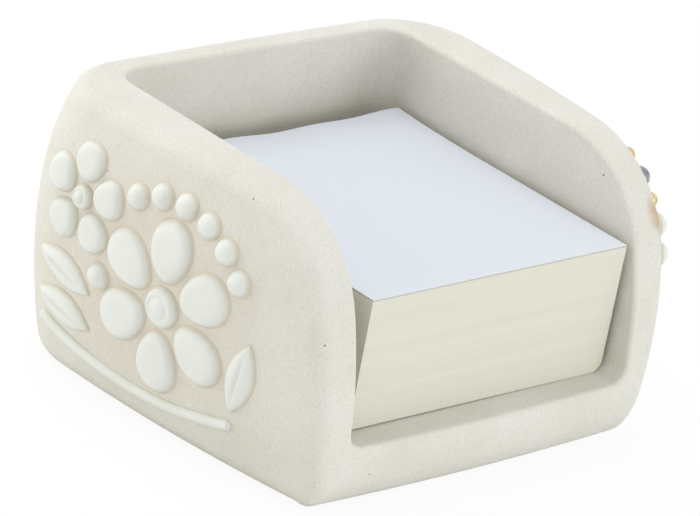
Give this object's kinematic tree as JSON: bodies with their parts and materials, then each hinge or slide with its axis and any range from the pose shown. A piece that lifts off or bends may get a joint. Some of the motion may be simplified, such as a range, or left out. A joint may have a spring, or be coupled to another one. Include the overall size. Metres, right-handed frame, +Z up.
{
  "type": "sticky note holder",
  "caption": "Ceramic desk holder for a square block of note sheets, open at the top and front, with raised flower ornament on its bulging walls.",
  "frame": {"origin": "centre of the bounding box, on the surface that the holder stands on", "axes": "+X to the right of a person who faces the open front, +Y towards the back wall, +Z up"},
  "size_m": [0.1462, 0.1236, 0.0765],
  "materials": {
    "bisque": "matte",
    "white_glaze": "satin",
    "gold_lustre": "polished",
    "silver_lustre": "polished",
    "paper": "matte"
  },
  "bodies": {
    "holder": {"holder_body": "bisque", "left_petals": "white_glaze", "left_flower_centres": "white_glaze", "left_leaves": "white_glaze", "left_berries": "white_glaze", "left_stem": "white_glaze", "back_petals": "white_glaze", "back_flower_centres": "white_glaze", "back_leaves": "white_glaze", "back_berries": "white_glaze", "back_stem": "white_glaze", "right_petals": "white_glaze", "right_flower_centres": "white_glaze", "right_leaves": "white_glaze", "right_berries": "white_glaze", "right_stem": "white_glaze", "right_silver_bead": "silver_lustre", "right_gold_beads": "gold_lustre"},
    "block": {"note_block": "paper"},
    "sheet": {"top_sheet": "paper"}
  },
  "joints": [
    {"name": "block_lift", "type": "slide", "parent": "holder", "child": "block", "axis": [0, 0, 1], "range_m": [0, 0.065]},
    {"name": "sheet_draw", "type": "slide", "parent": "block", "child": "sheet", "axis": [0, -1, 0], "range_m": [0, 0.1]}
  ]
}
